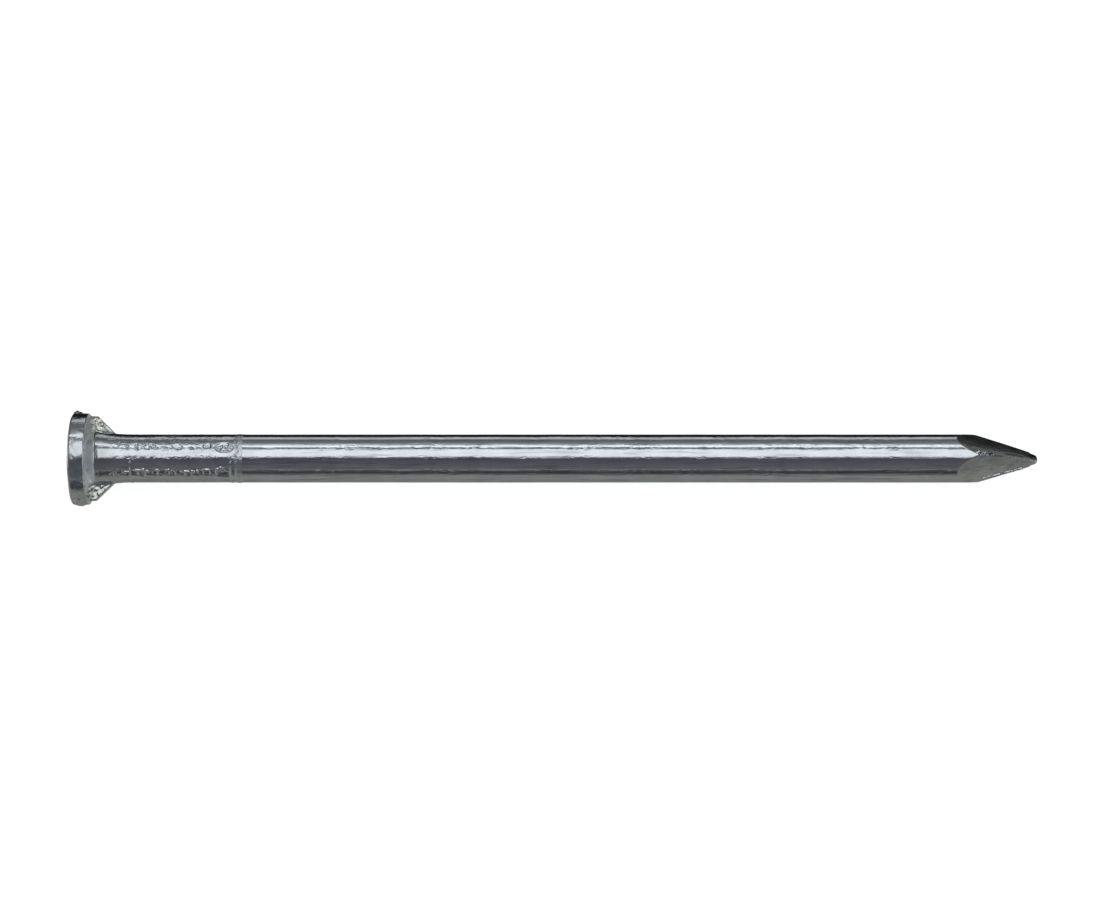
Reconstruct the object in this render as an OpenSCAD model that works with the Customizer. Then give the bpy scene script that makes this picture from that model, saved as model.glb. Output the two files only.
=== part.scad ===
// Round wire nail with a flat head, a short cone and two fins under the head,
// a length bitten by the gripping dies, a plain shank and a four-sided diamond point.
//
// The nail lies along +X. X = 0 is the struck face of the head, and the tip is at X = nail_length.
// The two gripping dies close along Z, so the fins squeezed out between them lie on -Y and +Y.
// It is forged from one length of wire: the modules below are its regions, which meet face to face.
// All sizes are in millimetres and degrees.

/* [Wire] */
// Length from the struck face to the tip
nail_length = 70; // [55:1:90]
// Diameter of the drawn wire
wire_d = 3.5; // [2.9:0.05:4.2]

/* [Head] */
// Diameter of the head
head_d = 6.7; // [5.5:0.1:8.2]
// Thickness of the head at its rim
head_t = 1.2; // [0.9:0.05:1.6]
// Radius that rounds both edges of the rim
rim_r = 0.25; // [0.1:0.05:0.4]

/* [Neck] */
// Length of the cone under the head
cone_length = 0.5; // [0.35:0.05:0.7]
// How much thicker than the wire the small end of the cone is, on the radius
neck_swell = 0.3; // [0.15:0.05:0.4]
// Radius of the fillet that runs the neck out into the wire
fillet_r = 4; // [3:0.25:6]

/* [Fins] */
// Thickness of each fin
fin_t = 0.5; // [0.3:0.05:0.7]
// Length of each fin along the nail, from the underside of the head
fin_length = 2; // [1.4:0.1:2.5]
// Length of the level shoulder of the fin next to the head
fin_shoulder = 0.5; // [0.1:0.05:0.7]

/* [Grip marks] */
// Distance from the struck face to the end of the gripped length
grip_end = 11.8; // [9:0.1:14]
// Distance between two bites in a row
bite_pitch = 1.95; // [1.5:0.05:2.5]
// Width of a bite across the wire
bite_w = 0.6; // [0.4:0.05:0.8]
// Depth of a bite
bite_depth = 0.12; // [0.06:0.01:0.2]
// Radius of the die tooth that makes a bite
tooth_r = 0.5; // [0.4:0.05:0.8]
// Width across the wire of the last bite of a row, which the corner of the die makes
end_bite_w = 0.9; // [0.6:0.05:1.2]
// Radius of that corner of the die
end_tooth_r = 2.2; // [1.6:0.1:3]
// Plain wire left between the neck and the first bite
lead_gap = 0.3; // [0.02:0.01:0.5]
// Plain wire left between the last bite and the ring
end_gap = 0.1; // [0.05:0.05:0.6]
// Half the angle between the two rows of bites on each side
row_spread = 34; // [20:1:40]
// How far both rows are turned from the middle of the die
row_lean = 14; // [0:1:20]

/* [Grip ring] */
// Width of the low, rounded ring where the gripping dies end
ring_w = 0.6; // [0.5:0.05:1]
// Height of the ring above the wire
ring_rise = 0.03; // [0.02:0.01:0.08]

/* [Point] */
// Length of the point, from where its flats start to the tip
point_length = 6.4; // [5:0.1:8]
// Width across the flats at the tip
tip_w = 0.5; // [0.3:0.05:0.8]
// How much the round of the wire thins from the start of the point to the tip, on the radius
point_thinning = 0.05; // [0.02:0.01:0.1]

/* [Hidden] */
$fn = 96;

head_r = head_d / 2;
wire_r = wire_d / 2;
cone_base_r = head_r - rim_r;
cone_end = head_t + cone_length;
neck_end = cone_end + sqrt(pow(fillet_r, 2) - pow(fillet_r - neck_swell, 2));
fillet_steps = 8;
fin_end = head_t + fin_length;

bite_half = sqrt(pow(tooth_r, 2) - pow(tooth_r - bite_depth, 2));
end_bite_half = sqrt(pow(end_tooth_r, 2) - pow(end_tooth_r - bite_depth, 2));
first_bite_x = neck_end + lead_gap + bite_half;
end_bite_x = grip_end - end_gap - end_bite_half;
last_bite_limit = end_bite_x - end_bite_half - bite_half;

ring_arc_r = (pow(ring_w / 2, 2) + pow(ring_rise, 2)) / (2 * ring_rise);
ring_steps = 6;
shank_start = grip_end + ring_w;
point_start = nail_length - point_length;
flat_angle = atan((wire_r - tip_w / 2) / point_length);
cut = 1; // how far a cutting solid runs past what it cuts

zinc = [0.72, 0.74, 0.76];
forged_zinc = [0.66, 0.68, 0.69];

// Turns a flat profile round the nail's axis. In the profile, x is the radius and y runs along the nail.
module turned() {
    rotate([0, 90, 0])
        rotate_extrude()
            children();
}

// A length of plain wire.
module wire(from_x, to_x) {
    translate([from_x, 0, 0])
        rotate([0, 90, 0])
            cylinder(h = to_x - from_x, r = wire_r);
}

// The upset disc, with both edges of its rim rounded.
module head() {
    color(forged_zinc)
        turned() {
            square([cone_base_r, head_t]);
            translate([0, rim_r])
                square([head_r, head_t - 2 * rim_r]);
            for (y = [rim_r, head_t - rim_r])
                translate([cone_base_r, y])
                    circle(r = rim_r);
        }
}

// The cone under the head and the fillet that runs it out into the wire.
module neck() {
    fillet = [for (i = [0 : fillet_steps])
        let (y = cone_end + (neck_end - cone_end) * i / fillet_steps)
        [wire_r + fillet_r - sqrt(pow(fillet_r, 2) - pow(neck_end - y, 2)), y]];
    color(forged_zinc)
        turned()
            polygon(concat([[0, head_t], [cone_base_r, head_t]], fillet, [[0, neck_end]]));
}

// A fin squeezed out between the dies, standing on the cone and on the fillet. Side is -1 or 1 on Y.
module fin(side) {
    difference() {
        translate([0, 0, -fin_t / 2])
            linear_extrude(fin_t)
                polygon([
                    [head_t, 0],
                    [head_t, side * cone_base_r],
                    [head_t + fin_shoulder, side * cone_base_r],
                    [fin_end, side * wire_r],
                    [fin_end, 0]
                ]);
        neck();
        wire(neck_end - cut, fin_end + cut);
    }
}

module front_fin() {
    color(forged_zinc)
        fin(-1);
}

module back_fin() {
    color(forged_zinc)
        fin(1);
}

// One bite: a round die tooth pressed across the wire, straight down from +Z.
module bite(x, radius, width) {
    translate([x, -width / 2, wire_r + radius - bite_depth])
        rotate([-90, 0, 0])
            cylinder(h = width, r = radius);
}

// One row of evenly spaced bites, with a longer and wider one at the end of the die.
module bite_row() {
    for (x = [first_bite_x : bite_pitch : last_bite_limit])
        bite(x, tooth_r, bite_w);
    bite(end_bite_x, end_tooth_r, end_bite_w);
}

// The length held by the dies, with two rows of bites on its upper and on its lower side.
module gripped_shank() {
    color(zinc)
        difference() {
            wire(neck_end, grip_end);
            for (die = [0, 180], row = [-row_spread, row_spread])
                rotate([die + row + row_lean, 0, 0])
                    bite_row();
        }
}

// The low ring where the wire swelled past the end of the dies. Its profile is one flat arc.
module grip_ring() {
    arc = [for (i = [0 : ring_steps])
        let (from_middle = ring_w * (i / ring_steps - 0.5))
        [
            wire_r + ring_rise - ring_arc_r + sqrt(pow(ring_arc_r, 2) - pow(from_middle, 2)),
            grip_end + ring_w / 2 + from_middle
        ]];
    color(zinc)
        turned()
            polygon(concat([[0, grip_end]], arc, [[0, shank_start]]));
}

// The plain drawn wire.
module shank() {
    color(zinc)
        wire(shank_start, point_start);
}

// The pinched diamond point: four sloping flats, with the edges between them on Y and Z.
// The dies draw the wire out as they pinch it, so what is left of its round is a little thinner.
module point() {
    color(zinc)
        difference() {
            translate([point_start, 0, 0])
                rotate([0, 90, 0])
                    cylinder(h = point_length, r1 = wire_r, r2 = wire_r - point_thinning);
            for (a = [45 : 90 : 315])
                rotate([a, 0, 0])
                    translate([point_start, -wire_d, wire_r])
                        rotate([0, flat_angle, 0])
                            translate([-cut, 0, 0])
                                cube([point_length + 3 * cut, 2 * wire_d, wire_d]);
        }
}

head();
neck();
front_fin();
back_fin();
gripped_shank();
grip_ring();
shank();
point();
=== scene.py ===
# A bright zinc plated wire nail, lying on its side on a pale floor under soft studio light.
# It is shaped in millimetres as one forging, parted where the CAD nodes meet, and brought to metres.
import math
import random

import bpy
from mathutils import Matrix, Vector


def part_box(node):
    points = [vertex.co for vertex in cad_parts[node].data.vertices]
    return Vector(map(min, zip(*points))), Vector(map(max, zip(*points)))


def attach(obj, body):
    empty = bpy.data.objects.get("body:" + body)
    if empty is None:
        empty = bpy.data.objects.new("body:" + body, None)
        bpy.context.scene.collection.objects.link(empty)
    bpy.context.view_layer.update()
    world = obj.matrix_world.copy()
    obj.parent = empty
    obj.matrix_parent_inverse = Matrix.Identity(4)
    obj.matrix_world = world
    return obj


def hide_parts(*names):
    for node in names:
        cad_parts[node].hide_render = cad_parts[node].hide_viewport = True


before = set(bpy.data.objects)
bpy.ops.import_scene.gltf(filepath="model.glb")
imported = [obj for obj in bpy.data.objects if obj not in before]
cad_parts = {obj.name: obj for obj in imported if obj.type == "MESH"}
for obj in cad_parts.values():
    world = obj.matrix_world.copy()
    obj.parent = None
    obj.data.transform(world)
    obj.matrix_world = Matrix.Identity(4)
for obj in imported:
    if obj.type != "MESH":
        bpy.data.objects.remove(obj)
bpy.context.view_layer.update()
mm = 0.001


def nodeLow(node):  # lowest corner of a CAD node, in mm
    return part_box(node)[0] / mm


def nodeHigh(node):  # highest corner of a CAD node, in mm
    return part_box(node)[1] / mm


headR = nodeHigh("head").z
headEnd = nodeHigh("head").x
coneBaseR = nodeHigh("neck").z
neckEnd = nodeHigh("neck").x
finEnd = nodeHigh("back_fin").x
finThick = nodeHigh("back_fin").z * 2
gripEnd = nodeHigh("gripped_shank").x
wireR = nodeHigh("shank").z
shankStart = nodeLow("shank").x
pointStart = nodeHigh("shank").x
tipX = nodeHigh("point").x


def deselectAll():
    if bpy.context.object and bpy.context.object.mode != "OBJECT":
        bpy.ops.object.mode_set(mode="OBJECT")
    bpy.ops.object.select_all(action="DESELECT")


def pick(piece):  # makes one piece the only selected one, and the active one
    deselectAll()
    piece.select_set(True)
    bpy.context.view_layer.objects.active = piece


def newest(name):  # names the primitive that was just added, and puts its place in its mesh
    piece = bpy.context.object
    piece.name = name
    bpy.ops.object.transform_apply(location=True, rotation=True, scale=True)
    return piece


def editAll(piece):
    pick(piece)
    bpy.ops.object.mode_set(mode="EDIT")
    bpy.ops.mesh.select_all(action="SELECT")


def doneEditing():
    bpy.ops.mesh.select_all(action="SELECT")
    bpy.ops.mesh.normals_make_consistent(inside=False)
    bpy.ops.object.mode_set(mode="OBJECT")


def finishModifier(piece, kind, **settings):
    pick(piece)
    modifier = piece.modifiers.new(kind.title(), kind)
    for key, value in settings.items():
        setattr(modifier, key, value)
    bpy.ops.object.modifier_apply(modifier=modifier.name)


def addWire(name, fromX, toX, radius, around=128):
    deselectAll()
    bpy.ops.mesh.primitive_cylinder_add(vertices=around, radius=radius, depth=toX - fromX,
                                        location=((fromX + toX) / 2, 0, 0), rotation=(0, math.pi / 2, 0))
    return newest(name)


def turn(name, stations, around=144):  # stations are (x, radius), drawn out one after the other
    x, radius = stations[0]
    deselectAll()
    bpy.ops.mesh.primitive_circle_add(vertices=around, radius=radius, fill_type="NGON",
                                      location=(x, 0, 0), rotation=(0, math.pi / 2, 0))
    piece = newest(name)
    editAll(piece)
    for nextX, nextRadius in stations[1:]:
        bpy.ops.mesh.extrude_region_move(TRANSFORM_OT_translate={"value": (nextX - x, 0, 0)})
        grow = nextRadius / radius
        bpy.ops.transform.resize(value=(1, grow, grow), center_override=(nextX, 0, 0))
        x, radius = nextX, nextRadius
    doneEditing()
    return piece


def sliceOff(piece, point, outward):  # cuts away what lies beyond a plane, and closes the cut
    editAll(piece)
    bpy.ops.mesh.bisect(plane_co=point, plane_no=outward, use_fill=True, clear_outer=True)
    doneEditing()


def joinAll(pieces, name):
    deselectAll()
    for piece in pieces:
        piece.select_set(True)
    bpy.context.view_layer.objects.active = pieces[0]
    bpy.ops.object.join()
    pieces[0].name = name
    return pieces[0]


def fuse(piece, grain, softening):  # makes overlapping shells one skin, then softens its edges
    finishModifier(piece, "REMESH", mode="VOXEL", voxel_size=grain)
    finishModifier(piece, "SMOOTH", factor=0.5, iterations=softening)


def combine(piece, tool, way, keepTool=False):
    finishModifier(piece, "BOOLEAN", operation=way, object=tool, solver="MANIFOLD")
    if not keepTool:
        bpy.data.objects.remove(tool)


def aroundAxis(x, turned, radius):  # a place that far from the axis, turned from +Z towards +Y
    return (x, radius * math.sin(turned), radius * math.cos(turned))


def standUp(name, turned, tilt, skew, ragged, seed):  # stands the new piece out from the axis
    piece = bpy.context.object
    piece.rotation_mode = "ZYX"
    piece.rotation_euler = (tilt - turned, 0, skew)
    piece = newest(name)
    if ragged:
        editAll(piece)
        bpy.ops.transform.vertex_random(offset=ragged, seed=seed)
        doneEditing()
    return piece


def addBlob(name, x, turned, radius, size, tilt=0.0, skew=0.0, ragged=0.0, seed=0):
    # an egg with its middle at that radius; size is along the nail, across it and outward
    deselectAll()
    bpy.ops.mesh.primitive_ico_sphere_add(subdivisions=3, radius=0.5, scale=size,
                                          location=aroundAxis(x, turned, radius))
    return standUp(name, turned, tilt, skew, ragged, seed)


def addTooth(name, x, turned, depth, size, tilt=0.0, skew=0.0, ragged=0.0, seed=0):
    # a blunt tooth pressed that deep into the wire; its flat end has that size along and across
    high = 0.3
    deselectAll()
    bpy.ops.mesh.primitive_cone_add(vertices=11, radius1=0.5, radius2=0.6, depth=high, scale=(*size, 1),
                                    location=aroundAxis(x, turned, wireR - depth + high / 2))
    return standUp(name, turned, tilt, skew, ragged, seed)


def ripple(piece, pattern, strength, group=""):
    finishModifier(piece, "DISPLACE", texture=pattern, texture_coords="LOCAL", direction="NORMAL",
                   strength=strength, mid_level=0.5, vertex_group=group)


def cloudPattern(name, grain, depth=2):
    pattern = bpy.data.textures.new(name, "CLOUDS")
    pattern.noise_scale = grain
    pattern.noise_depth = depth
    return pattern


def groupBetween(piece, name, fromX, toX, fade):  # a vertex group that is full between two stations
    group = piece.vertex_groups.new(name=name)
    for vertex in piece.data.vertices:
        inside = min(vertex.co.x - fromX, toX - vertex.co.x) / fade + 1
        if inside > 0:
            group.add([vertex.index], min(inside, 1), "REPLACE")
    return name


def copyOf(piece, name):
    twin = piece.copy()
    twin.data = piece.data.copy()
    bpy.context.scene.collection.objects.link(twin)
    twin.name = name
    return twin


def partOff(whole, name, fromX, toX):  # one region of a forging, closed at both cuts
    piece = copyOf(whole, name)
    if fromX is not None:
        sliceOff(piece, (fromX, 0, 0), (-1, 0, 0))
    if toX is not None:
        sliceOff(piece, (toX, 0, 0), (1, 0, 0))
    return piece


forgedLumps = cloudPattern("forgedLumps", 0.9)
dieScuffs = cloudPattern("dieScuffs", 0.22, 3)
drawnWaves = cloudPattern("drawnWaves", 2.6, 1)
waveHeight = 0.016  # mm, of the slight waves in drawn wire

head = {
    "faceRound": 0.13,       # mm, rounding of the struck edge
    "backRound": 0.06,       # mm, rounding of the edge towards the wire
    "belly": 0.02,           # mm that the rim swells between its edges
    "sag": -0.05,            # mm that the head sits off the wire's axis, on Y
    "lumpHeight": 0.05,      # mm, of the forged unevenness
    # blobs on the rim: mm from the struck face, degrees from +Z towards +Y, mm that their middle is
    # under the rim, and mm along the nail, across it and outward
    "nib": (0.27, 84, 0.08, (0.30, 0.6, 0.54)),
    "nibFoot": (0.31, 84, 0.04, (0.75, 1.1, 0.24)),
    "lowBurr": (0.6, -86, 0.02, (0.9, 2.0, 0.18)),
}


def makeHead():
    rimR = headR - head["belly"]
    stations = [(0, headR - head["faceRound"] * 1.6)]
    steps = 6
    for i in range(steps + 1):
        a = math.pi / 2 * i / steps
        stations.append((head["faceRound"] * (1 - math.cos(a)) + 0.01 * (i == 0),
                         rimR - head["faceRound"] * (1 - math.sin(a))))
    stations.append((headEnd / 2, headR))
    for i in range(steps + 1):
        a = math.pi / 2 * i / steps
        stations.append((headEnd - head["backRound"] * (1 - math.sin(a)),
                         rimR - head["backRound"] * (1 - math.cos(a))))
    disc = turn("disc", stations)
    pick(disc)
    bpy.ops.transform.translate(value=(0, head["sag"], 0))
    bpy.ops.object.transform_apply(location=True)
    pieces = [disc]
    for name in ("nib", "nibFoot", "lowBurr"):
        x, turned, under, size = head[name]
        pieces.append(addBlob(name, x, math.radians(turned), headR - under, size))
    return pieces


neck = {
    "coneLength": 0.5,       # mm
    "swell": 0.3,            # mm over the wire's radius, where the cone ends
    "runOut": 4.6,           # mm from the struck face to where the fillet dies out
    "hollow": 2.4,           # how quickly the fillet falls away from the cone
}
coneEnd = headEnd + neck["coneLength"]


def neckRadius(x):
    if x < coneEnd:
        down = max(x - headEnd, 0) / neck["coneLength"]
        return coneBaseR + (wireR + neck["swell"] - coneBaseR) * down
    left = 1 - min((x - coneEnd) / (neck["runOut"] - coneEnd), 1)
    return wireR + neck["swell"] * left ** neck["hollow"]


def makeNeck():
    stations = [(headEnd / 2, coneBaseR - 0.3), (headEnd, coneBaseR), (headEnd + 0.1, coneBaseR - 0.12)]
    steps = 9
    for i in range(steps + 1):
        x = coneEnd + (neck["runOut"] - coneEnd) * i / steps
        stations.append((x, neckRadius(x)))
    return [turn("cone", stations)]


fins = {
    "shoulder": 0.55,        # mm of level edge next to the head
    # mm thick at the edge, where it leaves the cone, and at its foot
    "back": (0.26, 0.66, 0.9),
    "front": (0.46, 0.54, 0.76),
    "footEdge": 0.3,         # mm thick at the top of the broad foot
    "footDrop": 0.5,         # mm that the foot stays below the shoulder
    "sunk": 1.1,             # mm from the axis to where each plate begins, inside the wire
    # lumps on the flanks: mm from the struck face, mm from the axis, mm across, mm high
    "backLumps": [(2.05, 2.45, 0.52, 0.26), (1.55, 2.85, 0.40, 0.14)],
    "frontLumps": [(1.75, 2.30, 0.36, 0.16), (2.15, 2.10, 0.30, 0.18), (1.95, 2.62, 0.30, 0.14),
                   (1.55, 2.75, 0.30, 0.12), (2.45, 2.25, 0.26, 0.12)],
}


def makeFin(name, side):
    pieces = []
    top = coneBaseR + 0.02
    low = fins["sunk"]
    ridge, root, foot = fins[name]
    layers = [(ridge, root, 0), (fins["footEdge"], foot, fins["footDrop"])]
    fromX, toX = 1, finEnd + 0.2  # from inside the head to just past the sloping edge
    for layer, (edge, base, drop) in enumerate(layers):
        deselectAll()
        bpy.ops.mesh.primitive_cube_add(size=1, scale=(toX - fromX, top - low, base),
                                        location=((fromX + toX) / 2, side * (top + low) / 2, 0))
        plate = newest(name + str(layer))
        # the sloping edge, from the shoulder down to the wire
        start = Vector((headEnd + fins["shoulder"], side * (top - drop), 0))
        end = Vector((finEnd + 0.18, side * (wireR - 0.02), 0))
        along = end - start
        sliceOff(plate, start, (abs(along.y), side * along.x, 0))
        sliceOff(plate, (0, side * (top - drop), 0), (0, side, 0))
        # the two flanks, thinner towards the edge
        lean = (base - edge) / 2 / (top - low)
        for flank in (-1, 1):
            sliceOff(plate, (0, side * top, flank * edge / 2), (0, side * lean, flank))
        pieces.append(plate)
    for flank in (-1, 1):
        for i, (x, radius, across, high) in enumerate(fins[name + "Lumps"]):
            size = (across, across * 0.8, high)
            lump = addBlob("lump", x, 0, flank * (ridge + root) * 0.22, size, skew=i)
            pick(lump)
            bpy.ops.transform.translate(value=(0, side * radius, 0))
            bpy.ops.object.transform_apply(location=True)
            pieces.append(lump)
    return pieces


grip = {
    "lean": -14,             # degrees that the middle of each die is turned from +Z towards +Y
    "spread": 34,            # degrees from the middle of the die to each row of bites
    # bites of each row: mm from the struck face, mm along the wire, mm across it, mm deep
    "backRow": [(3.83, 0.80, 0.40, 0.06), (4.80, 0.24, 0.60, 0.05), (5.52, 0.44, 0.40, 0.065),
                (5.96, 0.36, 0.34, 0.06), (7.72, 0.76, 0.42, 0.065), (9.90, 0.70, 0.42, 0.065)],
    "frontRow": [(3.20, 0.25, 0.34, 0.05), (4.11, 0.36, 0.36, 0.05), (5.14, 0.62, 0.50, 0.08),
                 (6.10, 0.40, 0.42, 0.06), (7.34, 0.44, 0.48, 0.07), (8.48, 0.55, 0.42, 0.06),
                 (9.10, 0.36, 0.42, 0.05), (9.84, 0.50, 0.46, 0.07)],
    "endMark": (11.08, 1.22, 0.80, 0.11),  # the same, for the mark of the die's corner
    "lips": 2,               # bits of metal raised along the inner side of a bite in the front row
    "endLips": 3,            # the same, for the row's end mark
    "lipHigh": 0.10,         # mm
    "lipWide": 0.17,
    "scoop": 0.09,           # radians that a bite leans, so that it runs out on its outer side
    "crumbs": 7,             # bits of metal left standing in each end mark
    "scuffs": 80,            # nicks round the rows
    "dieLines": (4.33, 11.6),  # mm from the struck face to the faint lines at the ends of the dies
    "dieLineHigh": 0.035,    # mm
    "ringHigh": 0.035,
    "scuffHeight": 0.02,     # mm, of the unevenness that the dies leave
    "seed": 11,
    # mm, how fine the skin is when the shells are fused, when the teeth are, and at the last
    "skinGrain": 0.05,
    "toothGrain": 0.03,
    "lastGrain": 0.037,
}


def makeEndMark(dice, side, middle):  # the torn mark that ends a row
    lips = []
    x, along, across, deep = grip["endMark"]
    turned = math.radians(middle - side * 3)
    inner = turned - side * (across / 2) / wireR
    for _ in range(grip["endLips"] if side < 0 else 0):
        lipX = x + dice.uniform(-0.5, 0.5)
        lipTurned = inner + dice.uniform(0, 0.06) * side
        size = (dice.uniform(0.3, 0.6), 0.2, 2 * grip["lipHigh"])
        lips.append(addBlob("endLip", lipX, lipTurned, wireR, size, skew=dice.uniform(-0.5, 0.5)))
    bite = addTooth("endBite", x, turned, deep, (along, across), tilt=side * 0.05, ragged=0.08,
                    seed=side + 2)
    for _ in range(grip["crumbs"]):
        crumbX = x + dice.uniform(-0.4, 0.4)
        crumbTurned = turned + dice.uniform(-0.16, 0.16)
        size = (dice.uniform(0.15, 0.4), dice.uniform(0.12, 0.24), 0.10)
        skew = dice.uniform(-1.5, 1.5)
        lips.append(addBlob("crumb", crumbX, crumbTurned, wireR - deep, size, skew=skew))
    return lips, bite


def makeBites(dice):
    lips, bites = [], []
    for die in (0, 180):
        for side, row in ((1, "backRow"), (-1, "frontRow")):
            middle = die + grip["lean"] + side * grip["spread"]
            for x, along, across, deep in grip[row]:
                if die:
                    x += dice.uniform(-0.2, 0.2)
                    along *= dice.uniform(0.8, 1.2)
                turned = math.radians(middle + dice.uniform(-2, 2))
                skew = dice.uniform(-0.3, 0.3)
                inner = turned - side * (across / 2 + 0.03) / wireR
                for _ in range(grip["lips"] if side < 0 else 0):
                    size = (along * dice.uniform(0.6, 1.5), grip["lipWide"], 2 * grip["lipHigh"])
                    lipX = x + along * dice.uniform(-0.5, 0.5)
                    lipSkew = skew + dice.uniform(-0.3, 0.3)
                    lips.append(addBlob("lip", lipX, inner, wireR, size, tilt=-side * 0.3, skew=lipSkew,
                                        ragged=0.02, seed=dice.randrange(99)))
                bites.append(addTooth("bite", x, turned, deep, (along, across), tilt=side * grip["scoop"],
                                      skew=skew, ragged=0.07, seed=dice.randrange(99)))
            endLips, endBite = makeEndMark(dice, side, middle)
            lips += endLips
            bites.append(endBite)
    return lips, bites


def makeScuffs(dice):  # small nicks round the rows, where the toothed die slid
    nicks = []
    for _ in range(grip["scuffs"]):
        side = dice.choice((-1, 1))
        middle = dice.choice((0, 180)) + grip["lean"] + side * grip["spread"]
        turned = math.radians(middle + dice.gauss(0, 8))
        size = (dice.uniform(0.12, 0.4), dice.uniform(0.1, 0.2), 0.12 + dice.uniform(0.02, 0.07))
        x = dice.uniform(neckEnd - 0.6, gripEnd + 0.3)
        nicks.append(addBlob("scuff", x, turned, wireR + 0.06, size, skew=dice.uniform(-0.8, 0.8)))
    return nicks


def makeRing():
    stations = []
    middle = (gripEnd + shankStart) / 2
    half = (shankStart - gripEnd) / 2
    steps = 8
    for i in range(steps + 1):
        t = 2 * i / steps - 1
        rise = grip["ringHigh"] * math.cos(t * math.pi / 2) ** 2
        stations.append((middle + half * t, wireR - 0.005 + rise))
    return turn("ring", stations)


def makeDieLines():
    lines = []
    foot = wireR - 0.06
    top = wireR + grip["dieLineHigh"]
    for x in grip["dieLines"]:
        line = turn("dieLine", [(x - 0.07, foot), (x - 0.03, top), (x + 0.03, top), (x + 0.07, foot)])
        sliceOff(line, (0, 0, 0), (0, 1, 0.3))
        lines.append(line)
    return lines


def forgeHeadEnd():
    dice = random.Random(grip["seed"])
    wire = addWire("grippedWire", headEnd / 2, shankStart + 2, wireR, around=160)
    lips, bites = makeBites(dice)
    bites += makeScuffs(dice)
    forging = joinAll(makeHead() + makeNeck() + makeFin("back", 1) + makeFin("front", -1)
                      + [wire, makeRing()], "forgedEnd")
    fuse(forging, grip["skinGrain"], 4)
    teeth = joinAll(bites, "teeth")
    fuse(teeth, grip["toothGrain"], 1)
    combine(forging, teeth, "DIFFERENCE")
    forging = joinAll([forging] + lips + makeDieLines(), "forgedEnd")
    fuse(forging, grip["lastGrain"], 3)
    lumpy = groupBetween(forging, "lumpy", -1, headEnd + 0.8, 1.0)
    ripple(forging, forgedLumps, head["lumpHeight"], lumpy)
    scuffed = groupBetween(forging, "scuffed", neckEnd, gripEnd + 0.4, 0.6)
    ripple(forging, dieScuffs, grip["scuffHeight"], scuffed)
    ripple(forging, drawnWaves, waveHeight)
    return forging


def makeFinBox(side):  # the room that a fin takes, for parting it from the neck
    deselectAll()
    bpy.ops.mesh.primitive_cube_add(size=1, location=(headEnd + 1.2, side * (wireR + 1.3), 0),
                                    scale=(4, 2, finThick + 0.7))
    return newest("finBox")


print("forging the head end")
forgedEnd = forgeHeadEnd()
nail = {
    "head": partOff(forgedEnd, "head_zinc", None, headEnd),
    "neck": partOff(forgedEnd, "neck_zinc", headEnd, neckEnd),
    "grippedShank": partOff(forgedEnd, "gripped_shank_zinc", neckEnd, gripEnd),
    "gripRing": partOff(forgedEnd, "grip_ring_zinc", gripEnd, shankStart),
}
bpy.data.objects.remove(forgedEnd)
for name, side in (("backFin", 1), ("frontFin", -1)):
    finBox = makeFinBox(side)
    nail[name] = copyOf(nail["neck"], name.replace("Fin", "_fin_zinc"))
    combine(nail[name], finBox, "INTERSECT", keepTool=True)
    combine(nail["neck"], finBox, "DIFFERENCE")

shank = {
    "around": 144,           # faces round the wire
    "rings": 180,            # stretches along it
}


def makeShank():
    length = pointStart - shankStart
    stations = [(shankStart + length * i / shank["rings"], wireR) for i in range(shank["rings"] + 1)]
    wire = turn("shank_zinc", stations, around=shank["around"])
    ripple(wire, drawnWaves, waveHeight)
    return wire


print("drawing the shank")
nail["shank"] = makeShank()

point = {
    "tipWidth": 0.5,         # mm across the flats at the tip
    "heel": 0.4,             # mm of plain wire before the flats begin
    "crownR": 7.0,           # mm, radius that crowns each flat across its width
    # mm at the tip that the back flats are closer in, and the front ones further out
    "lean": 0.06,
    "bluntLength": 0.6,      # mm at the tip that is worn round
    "flash": 0.06,           # mm of torn metal along the front edge between the dies
    "flashCount": 16,
    "crumbs": 9,             # bits of metal left standing where the top edge begins
    "grain": 0.036,          # mm, how fine the fused skin is
    "seed": 3,
}
flatStart = pointStart + point["heel"]


def flatSlope(a):  # of the flat that faces that way round the axis
    tipR = point["tipWidth"] / 2 - math.copysign(point["lean"], math.sin(a))
    return math.atan((wireR - tipR) / (tipX - flatStart))


def edgeRadius(x):  # from the axis to the edge between two front flats
    flatR = wireR - (x - flatStart) * math.tan(flatSlope(math.radians(-45)))
    return flatR * math.sqrt(2) - flatR * flatR / point["crownR"]


def makeFlash(dice):
    flash = []
    flashStart = pointStart + 2.4
    for i in range(point["flashCount"]):
        x = flashStart + (tipX - 1.2 - flashStart) * i / (point["flashCount"] - 1)
        high = 2 * point["flash"] * dice.uniform(0.5, 1.6)
        turned = math.radians(-80 + dice.uniform(-4, 4))
        size = (dice.uniform(0.2, 0.45), 0.16, high)
        flash.append(addBlob("flash", x, turned, edgeRadius(x) - 0.01, size, tilt=-0.5, skew=0.3,
                             ragged=0.02, seed=i))
    return flash


def makeCrumbs(dice):
    crumbs = []
    for i in range(point["crumbs"]):
        x = pointStart + 1.9 + 1.2 * i / point["crumbs"]
        radius = min(wireR, edgeRadius(x)) - 0.01
        for across in (0, 180):
            crumbX = x + dice.uniform(-0.1, 0.1)
            turned = math.radians(across + 4 + 3 * dice.random())
            size = (dice.uniform(0.2, 0.5), dice.uniform(0.12, 0.24), 0.13)
            crumbs.append(addBlob("crumb", crumbX, turned, radius, size, skew=dice.uniform(-0.4, 0.4),
                                  ragged=0.015, seed=i))
    return crumbs


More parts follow.
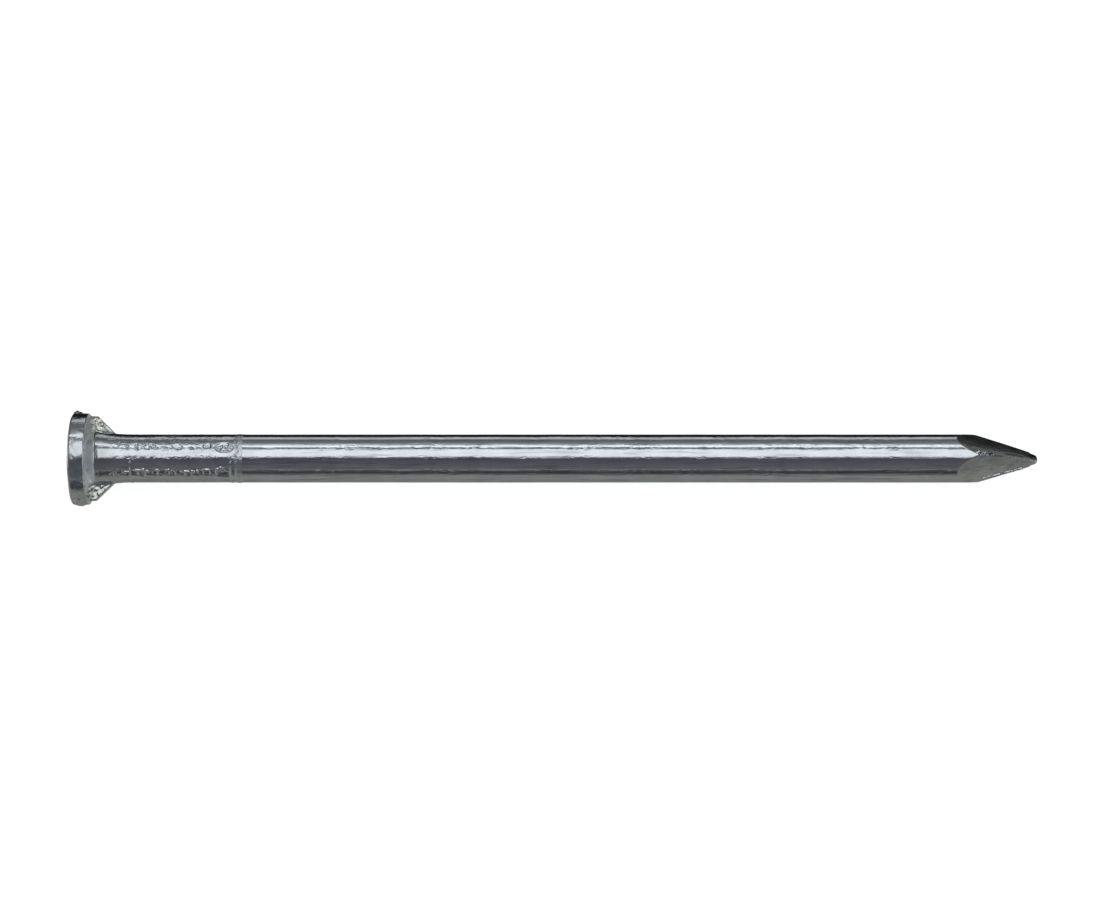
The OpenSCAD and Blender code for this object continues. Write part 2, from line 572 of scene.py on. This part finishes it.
def makePoint():
    dice = random.Random(point["seed"])
    piece = addWire("pinchedPoint", pointStart - 1, tipX, wireR, around=192)
    for quarter in range(4):
        a = math.radians(45 + 90 * quarter)
        slope = flatSlope(a)
        outward = Vector((math.sin(slope), math.cos(slope) * math.sin(a), math.cos(slope) * math.cos(a)))
        along = Vector((math.cos(slope), -math.sin(slope) * math.sin(a), -math.sin(slope) * math.cos(a)))
        start = Vector((flatStart, wireR * math.sin(a), wireR * math.cos(a)))
        middle = start + along * 3 - outward * point["crownR"]
        deselectAll()
        bpy.ops.mesh.primitive_cylinder_add(vertices=360, radius=point["crownR"], depth=20,
                                            location=middle,
                                            rotation=along.to_track_quat("Z", "Y").to_euler())
        combine(piece, newest("pinchingDie"), "INTERSECT")
    piece = joinAll([piece] + makeFlash(dice) + makeCrumbs(dice), "pinchedPoint")
    fuse(piece, point["grain"], 3)
    editAll(piece)
    bpy.ops.mesh.select_all(action="DESELECT")
    bpy.ops.object.mode_set(mode="OBJECT")
    for vertex in piece.data.vertices:
        vertex.select = vertex.co.x > tipX - point["bluntLength"]
    bpy.ops.object.mode_set(mode="EDIT")
    bpy.ops.mesh.vertices_smooth(factor=0.5, repeat=100)
    bpy.ops.object.mode_set(mode="OBJECT")
    ripple(piece, drawnWaves, waveHeight)
    return piece


print("pinching the point")
pinched = makePoint()
nail["point"] = partOff(pinched, "point_zinc", pointStart, None)
bpy.data.objects.remove(pinched)


def addNode(tree, kind, inputs=None, **settings):
    node = tree.nodes.new(kind)
    for key, value in settings.items():
        setattr(node, key, value)
    for name, value in (inputs or {}).items():
        if isinstance(value, bpy.types.NodeSocket):
            tree.links.new(value, node.inputs[name])
        else:
            node.inputs[name].default_value = value
    return node


def newGroup(name, inputs, outputs):
    tree = bpy.data.node_groups.new(name, "ShaderNodeTree")
    for label, kind, value in inputs:
        socket = tree.interface.new_socket(label, in_out="INPUT", socket_type=kind)
        if value is not None:
            socket.default_value = value
    for label, kind in outputs:
        tree.interface.new_socket(label, in_out="OUTPUT", socket_type=kind)
    return tree, tree.nodes.new("NodeGroupInput").outputs, tree.nodes.new("NodeGroupOutput")


def makeCoatGroup():  # uneven bright zinc: cloudy tint, fine grain
    inputs = [("Place", "NodeSocketVector", None), ("Bright", "NodeSocketColor", (0.8, 0.82, 0.85, 1)),
              ("Dull", "NodeSocketColor", (0.6, 0.62, 0.63, 1)), ("Clouds", "NodeSocketFloat", 0.8),
              ("Grain", "NodeSocketFloat", 9.0), ("Smoothest", "NodeSocketFloat", 0.12),
              ("Roughest", "NodeSocketFloat", 0.26)]
    outputs = [("Colour", "NodeSocketColor"), ("Roughness", "NodeSocketFloat"),
               ("Height", "NodeSocketFloat")]
    tree, given, result = newGroup("zincCoat", inputs, outputs)
    clouds = addNode(tree, "ShaderNodeTexNoise", {"Vector": given["Place"], "Scale": given["Clouds"],
                                                  "Detail": 5.0, "Roughness": 0.6})
    grain = addNode(tree, "ShaderNodeTexNoise", {"Vector": given["Place"], "Scale": given["Grain"],
                                                 "Detail": 3.0, "Roughness": 0.65})
    cloudy = addNode(tree, "ShaderNodeMapRange", {"Value": clouds.outputs["Fac"],
                                                  "From Min": 0.35, "From Max": 0.65})
    colour = addNode(tree, "ShaderNodeMix", {"Factor": cloudy.outputs["Result"]}, data_type="RGBA")
    tree.links.new(given["Dull"], colour.inputs["A"])
    tree.links.new(given["Bright"], colour.inputs["B"])
    both = addNode(tree, "ShaderNodeMath", {0: clouds.outputs["Fac"], 1: grain.outputs["Fac"]},
                   operation="MULTIPLY")
    rough = addNode(tree, "ShaderNodeMapRange", {"Value": both.outputs["Value"], "From Min": 0.12,
                                                 "From Max": 0.42, "To Min": given["Smoothest"],
                                                 "To Max": given["Roughest"]})
    tree.links.new(colour.outputs["Result"], result.inputs["Colour"])
    tree.links.new(rough.outputs["Result"], result.inputs["Roughness"])
    tree.links.new(grain.outputs["Fac"], result.inputs["Height"])
    return tree


def makeDrawGroup():  # fine lines that the drawing die leaves along the wire, dark streaks and scuffs
    inputs = [("Place", "NodeSocketVector", None), ("Colour", "NodeSocketColor", (0.8, 0.8, 0.8, 1)),
              ("Darkness", "NodeSocketFloat", 0.4), ("Scuffs", "NodeSocketFloat", 0.8)]
    outputs = [("Colour", "NodeSocketColor"), ("Height", "NodeSocketFloat")]
    tree, given, result = newGroup("drawLines", inputs, outputs)
    parts = addNode(tree, "ShaderNodeSeparateXYZ", {"Vector": given["Place"]})

    def stretched(amount):  # the place, drawn out along the wire
        along = addNode(tree, "ShaderNodeMath", {0: parts.outputs["X"], 1: amount}, operation="MULTIPLY")
        return addNode(tree, "ShaderNodeCombineXYZ", {"X": along.outputs["Value"], "Y": parts.outputs["Y"],
                                                      "Z": parts.outputs["Z"]}).outputs["Vector"]

    lines = addNode(tree, "ShaderNodeTexNoise", {"Vector": stretched(0.06), "Scale": 4.0,
                                                 "Detail": 2.5, "Roughness": 0.55})
    dark = addNode(tree, "ShaderNodeMapRange", {"Value": lines.outputs["Fac"], "From Min": 0.34,
                                                "From Max": 0.47, "To Min": given["Darkness"],
                                                "To Max": 0.0})
    colour = addNode(tree, "ShaderNodeMix", {"Factor": dark.outputs["Result"],
                                             "B": (0.16, 0.17, 0.19, 1)}, data_type="RGBA")
    tree.links.new(given["Colour"], colour.inputs["A"])
    # patches of short scuffs, which break up the lines
    marks = addNode(tree, "ShaderNodeTexNoise", {"Vector": stretched(0.45), "Scale": 5.0,
                                                 "Detail": 1.0, "Roughness": 0.5})
    patches = addNode(tree, "ShaderNodeTexNoise", {"Vector": given["Place"], "Scale": 0.45,
                                                   "Detail": 1.0})
    strong = addNode(tree, "ShaderNodeMapRange", {"Value": patches.outputs["Fac"], "From Min": 0.44,
                                                  "From Max": 0.60, "To Min": 0.3,
                                                  "To Max": given["Scuffs"]})
    scuffs = addNode(tree, "ShaderNodeMath", {0: marks.outputs["Fac"], 1: strong.outputs["Result"]},
                     operation="MULTIPLY")
    height = addNode(tree, "ShaderNodeMath", {0: lines.outputs["Fac"], 1: scuffs.outputs["Value"]},
                     operation="ADD")
    tree.links.new(height.outputs["Value"], result.inputs["Height"])
    tree.links.new(colour.outputs["Result"], result.inputs["Colour"])
    return tree


coatGroup = makeCoatGroup()
drawGroup = makeDrawGroup()

finishes = {
    "forged": {"slot": "forged_zinc", "bright": (0.86, 0.88, 0.88, 1), "dull": (0.68, 0.70, 0.70, 1),
               "clouds": 1.1, "grain": 5.0, "smoothest": 0.09, "roughest": 0.18, "grainHeight": 0.006,
               "lineHeight": 0.0, "streaks": 0.0, "scuffs": 0.0},
    # the fins' cream tint is a painted warm reflection, laid into the colour of their zinc
    "fin": {"slot": "forged_zinc", "bright": (0.98, 0.98, 0.90, 1), "dull": (0.78, 0.78, 0.70, 1),
            "clouds": 1.1, "grain": 5.0, "smoothest": 0.16, "roughest": 0.28, "grainHeight": 0.012,
            "lineHeight": 0.0, "streaks": 0.0, "scuffs": 0.0},
    "gripped": {"slot": "gripped_zinc", "bright": (0.92, 0.94, 0.96, 1), "dull": (0.76, 0.78, 0.80, 1),
                "clouds": 1.3, "grain": 6.0, "smoothest": 0.07, "roughest": 0.14, "grainHeight": 0.005,
                "lineHeight": 0.007, "streaks": 0.25, "scuffs": 2.4},
    "ring": {"slot": "gripped_zinc", "bright": (0.96, 0.98, 1.0, 1), "dull": (0.86, 0.88, 0.90, 1),
             "clouds": 1.3, "grain": 3.6, "smoothest": 0.16, "roughest": 0.30, "grainHeight": 0.05,
             "lineHeight": 0.0, "streaks": 0.0, "scuffs": 0.0},
    "drawn": {"slot": "drawn_zinc", "bright": (0.92, 0.94, 0.96, 1), "dull": (0.80, 0.82, 0.85, 1),
              "clouds": 0.6, "grain": 6.0, "smoothest": 0.05, "roughest": 0.10, "grainHeight": 0.003,
              "lineHeight": 0.007, "streaks": 0.3, "scuffs": 2.0},
    # painted shade: near-black zinc for the point's edges and tip, standing in for the dark reflection
    # they show
    "edge": {"slot": "cut_zinc", "bright": (0.12, 0.125, 0.13, 1), "dull": (0.06, 0.065, 0.07, 1),
             "clouds": 0.9, "grain": 6.0, "smoothest": 0.20, "roughest": 0.34, "grainHeight": 0.006,
             "lineHeight": 0.0, "streaks": 0.0, "scuffs": 0.0},
    "cut": {"slot": "cut_zinc", "bright": (0.82, 0.83, 0.81, 1), "dull": (0.68, 0.68, 0.65, 1),
            "clouds": 0.9, "grain": 6.0, "smoothest": 0.10, "roughest": 0.18, "grainHeight": 0.005,
            "lineHeight": 0.018, "streaks": 0.3, "scuffs": 0.6},
}


def makeZinc(name):
    finish = finishes[name]
    material = bpy.data.materials.new(name + "Zinc")
    material.use_nodes = True
    tree = material.node_tree
    shader = tree.nodes["Principled BSDF"]
    shader.inputs["Metallic"].default_value = 1.0
    place = addNode(tree, "ShaderNodeTexCoord").outputs["Object"]
    inMm = addNode(tree, "ShaderNodeMapping", {"Vector": place, "Scale": (1 / mm, 1 / mm, 1 / mm)})
    coat = addNode(tree, "ShaderNodeGroup", node_tree=coatGroup)
    lines = addNode(tree, "ShaderNodeGroup", node_tree=drawGroup)
    for group in (coat, lines):
        tree.links.new(inMm.outputs["Vector"], group.inputs["Place"])
    for label, key in (("Bright", "bright"), ("Dull", "dull"), ("Clouds", "clouds"), ("Grain", "grain"),
                       ("Smoothest", "smoothest"), ("Roughest", "roughest")):
        coat.inputs[label].default_value = finish[key]
    lines.inputs["Darkness"].default_value = finish["streaks"]
    lines.inputs["Scuffs"].default_value = finish["scuffs"]
    tree.links.new(coat.outputs["Colour"], lines.inputs["Colour"])
    tree.links.new(lines.outputs["Colour"], shader.inputs["Base Color"])
    tree.links.new(coat.outputs["Roughness"], shader.inputs["Roughness"])
    grain = addNode(tree, "ShaderNodeBump", {"Height": coat.outputs["Height"],
                                             "Distance": finish["grainHeight"] * mm})
    drawn = addNode(tree, "ShaderNodeBump", {"Height": lines.outputs["Height"],
                                             "Normal": grain.outputs["Normal"],
                                             "Distance": finish["lineHeight"] * mm})
    tree.links.new(drawn.outputs["Normal"], shader.inputs["Normal"])
    return material


print("plating the pieces")
zinc = {name: makeZinc(name) for name in finishes}
standsFor = {
    "head": ("head", "forged"),
    "neck": ("neck", "forged"),
    "backFin": ("back_fin", "fin"),
    "frontFin": ("front_fin", "fin"),
    "grippedShank": ("gripped_shank", "gripped"),
    "gripRing": ("grip_ring", "ring"),
    "shank": ("shank", "drawn"),
    "point": ("point", "cut"),
}
for name, piece in nail.items():
    node, finish = standsFor[name]
    pick(piece)
    bpy.ops.transform.resize(value=(mm, mm, mm), center_override=(0, 0, 0))
    bpy.ops.object.transform_apply(location=True, rotation=True, scale=True)
    bpy.ops.object.shade_smooth_by_angle(angle=math.radians(60))
    piece.data.materials.clear()
    piece.data.materials.append(zinc[finish])
    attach(piece, "root")
    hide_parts(node)

# the point's edges and tip are painted near-black as shade, picked by which way their faces look
pointPaintedShade = {
    "paintedShadeFrom": 2.4,         # mm past the start of the point, where the painted shade on its edges begins
    "paintedShadeFacing": (-0.48, 0.26),  # how far towards +Y the faces painted dark as shade may look
    "paintedShadeTipLength": 0.6,        # mm at the tip that is painted dark as shade too
}


def pointFinish(face):  # 0 for the flats, 1 for what is left of the wire's round, 2 for the edges and tip painted near-black as shade
    if abs(face.normal.x) < 0.1:
        return 1
    if face.normal.x <= 0.16 or face.center.x <= (pointStart + pointPaintedShade["paintedShadeFrom"]) * mm:
        return 0
    low, high = pointPaintedShade["paintedShadeFacing"]
    paintedShadeAtTip = face.normal.y > -0.3 and face.center.x > (tipX - pointPaintedShade["paintedShadeTipLength"]) * mm
    return 2 if low < face.normal.y < high or paintedShadeAtTip else 0


nail["point"].data.materials.append(zinc["drawn"])
# the third finish is the near-black painted shade on the point's edges and tip
nail["point"].data.materials.append(zinc["edge"])
for face in nail["point"].data.polygons:
    face.material_index = pointFinish(face)

# the foot of each fin keeps the finish of the neck
for name in ("backFin", "frontFin"):
    nail[name].data.materials.append(zinc["forged"])
    for face in nail[name].data.polygons:
        x, y, z = face.center / mm
        face.material_index = 1 if math.hypot(y, z) < neckRadius(x) + 0.06 else 0

studio = {
    "floorSize": 6.0,        # m
    "floorGap": 0.04,        # mm under the nail
    "restsAt": 1.8,          # mm past the start of the point, where the nail rests on the floor
    "floorTone": (0.6, 0.6, 0.6, 1),
    "floorSeen": 0.89,       # how far the floor is lifted towards white where the camera sees it
    "backdrop": 0.985,
    "softTint": (0.94, 0.98, 1.02),
    "frontTint": (0.88, 0.95, 1.08),
    "floorTint": (0.98, 1.0, 0.96),
    # what the nail mirrors, as (degrees, brightness): 0 is the front horizon, 90 overhead, 180 the back
    # horizon, and the floor has the angles below 0
    "around": [(-180, 0.12), (-172, 0.36), (-165, 0.58), (-159, 0.36), (-153, 0.015), (-124, 0.01),
               (-112, 0.30), (-92, 0.32), (-76, 0.19), (-58, 0.20), (-47, 0.18), (-30, 0.215),
               (-10, 0.20), (0, 0.10), (9, 0.035), (18, 0.075), (22, 0.10), (24, 0.25), (27, 0.12),
               (34, 0.115), (81, 0.072), (87, 0.40), (91, 0.88), (122, 0.90), (127, 0.30),
               (130.5, 0.05), (134.5, 0.40), (138.5, 1.15), (146, 0.93), (150, 0.38), (162, 0.16),
               (180, 0.11)],
    # the same, to either side of the nail
    "aside": [(-180, 0.13), (-176, 0.22), (-171, 0.06), (-164, 0.02), (-143, 0.012), (-128, 0.24),
              (-60, 0.25), (-4, 0.23), (8, 0.17), (30, 0.16), (50, 0.09), (80, 0.06), (104, 0.025),
              (150, 0.06), (168, 0.11), (180, 0.13)],
    # the same, further out
    "far": [(-180, 0.30), (-150, 0.16), (-110, 0.30), (-60, 0.34), (-20, 0.28), (-4, 0.22), (6, 0.42),
            (24, 0.46), (32, 0.16), (52, 0.12), (60, 0.60), (72, 0.88), (112, 0.92), (124, 0.34),
            (134, 0.16), (142, 0.62), (156, 0.80), (166, 0.30), (180, 0.30)],
    # where one set of bands gives way to the next, as parts of the way out to either end
    "asideFrom": (0.22, 0.36),
    "farFrom": (0.57, 0.62),
    "endFrom": (0.72, 0.92),
    "end": 0.34,             # the brightness beyond either end of the nail
}


def seenAs(tree, shader, forCamera):  # one shader, and another where the camera sees it
    path = addNode(tree, "ShaderNodeLightPath")
    mix = addNode(tree, "ShaderNodeMixShader", {"Fac": path.outputs["Is Camera Ray"],
                                                1: shader.outputs[0], 2: forCamera.outputs[0]})
    return mix.outputs[0]


def makeFloor():
    # the nail lies on the rim of its head and on the wire where the point's lower edge begins
    slope = (headR - wireR) / (pointStart + studio["restsAt"] - headEnd)
    low = headR + studio["floorGap"] + slope * headEnd
    deselectAll()
    bpy.ops.mesh.primitive_plane_add(size=studio["floorSize"], location=(0, 0, -low * mm),
                                     rotation=(0, -math.atan(slope), 0))
    floor = newest("floor")
    floor.visible_glossy = False  # the nail mirrors the floor's brightness from the studio's bands
    material = bpy.data.materials.new("paleFloor")
    material.use_nodes = True
    tree = material.node_tree
    tree.nodes.clear()
    diffuse = addNode(tree, "ShaderNodeBsdfDiffuse", {"Color": studio["floorTone"]})
    glow = addNode(tree, "ShaderNodeEmission", {"Color": (1, 1, 1, 1), "Strength": studio["floorSeen"]})
    both = addNode(tree, "ShaderNodeAddShader", {0: diffuse.outputs[0], 1: glow.outputs[0]})
    addNode(tree, "ShaderNodeOutputMaterial", {"Surface": seenAs(tree, diffuse, both)})
    floor.data.materials.append(material)


def bandTint(angle):
    if -120 < angle < 8.5:
        return studio["floorTint"]
    return studio["frontTint"] if 8.5 < angle < 85 else studio["softTint"]


def addBands(tree, turned, bands):  # a ramp of the bands' brightness by their angle
    ramp = addNode(tree, "ShaderNodeValToRGB", {"Fac": turned})
    stops = ramp.color_ramp.elements
    for i, (angle, brightness) in enumerate(bands):
        place = (angle + 180) / 360
        if i == 0:
            stop = stops[0]
        elif i == len(bands) - 1:
            stop = stops[-1]
        else:
            stop = stops.new(place)
        stop.position = place
        stop.color = [part * brightness for part in bandTint(angle)] + [1]
    return ramp.outputs["Color"]


def makeRoom():
    world = bpy.data.worlds.new("studio")
    bpy.context.scene.world = world
    world.use_nodes = True
    tree = world.node_tree
    tree.nodes.clear()
    place = addNode(tree, "ShaderNodeTexCoord").outputs["Generated"]
    way = addNode(tree, "ShaderNodeSeparateXYZ", {"Vector": place})
    toFront = addNode(tree, "ShaderNodeMath", {0: way.outputs["Y"], 1: -1.0}, operation="MULTIPLY")
    angle = addNode(tree, "ShaderNodeMath", {0: way.outputs["Z"], 1: toFront.outputs[0]},
                    operation="ARCTAN2")
    turned = addNode(tree, "ShaderNodeMapRange", {"Value": angle.outputs[0], "From Min": -math.pi,
                                                  "From Max": math.pi}).outputs["Result"]
    sideways = addNode(tree, "ShaderNodeMath", {0: way.outputs["X"]}, operation="ABSOLUTE").outputs[0]

    def givesWay(near, beyond, limits):  # from one colour to the next, on the way out to either end
        share = addNode(tree, "ShaderNodeMapRange", {"Value": sideways, "From Min": limits[0],
                                                     "From Max": limits[1]},
                        interpolation_type="SMOOTHSTEP")
        mix = addNode(tree, "ShaderNodeMix", {"Factor": share.outputs["Result"], "A": near, "B": beyond},
                      data_type="RGBA")
        return mix.outputs["Result"]

    end = [part * studio["end"] for part in studio["softTint"]] + [1]
    room = addBands(tree, turned, studio["around"])
    room = givesWay(room, addBands(tree, turned, studio["aside"]), studio["asideFrom"])
    room = givesWay(room, addBands(tree, turned, studio["far"]), studio["farFrom"])
    room = givesWay(room, end, studio["endFrom"])
    mirrored = addNode(tree, "ShaderNodeBackground", {"Color": room})
    seen = addNode(tree, "ShaderNodeBackground", {"Color": (1, 1, 1, 1), "Strength": studio["backdrop"]})
    addNode(tree, "ShaderNodeOutputWorld", {"Surface": seenAs(tree, mirrored, seen)})


camera = {
    "lens": 104.1,           # mm, on a 36 mm sensor
    "distance": 0.2326,      # m
    "elevation": 80,
    "aim": (0.0349, -0.00011, 0),
}


def makeCamera():
    data = bpy.data.cameras.new("camera")
    data.sensor_width = 36
    data.lens = camera["lens"]
    data.clip_start = 0.005
    data.clip_end = 20
    eye = bpy.data.objects.new("camera", data)
    e = math.radians(camera["elevation"])
    back = Vector((0, -math.cos(e), math.sin(e)))
    eye.location = Vector(camera["aim"]) + back * camera["distance"]
    eye.rotation_euler = (-back).to_track_quat("-Z", "Y").to_euler()
    bpy.context.scene.collection.objects.link(eye)
    bpy.context.scene.camera = eye


print("setting the floor, light and camera")
makeFloor()
makeRoom()
makeCamera()
bpy.context.scene.view_settings.view_transform = "Standard"

deselectAll()
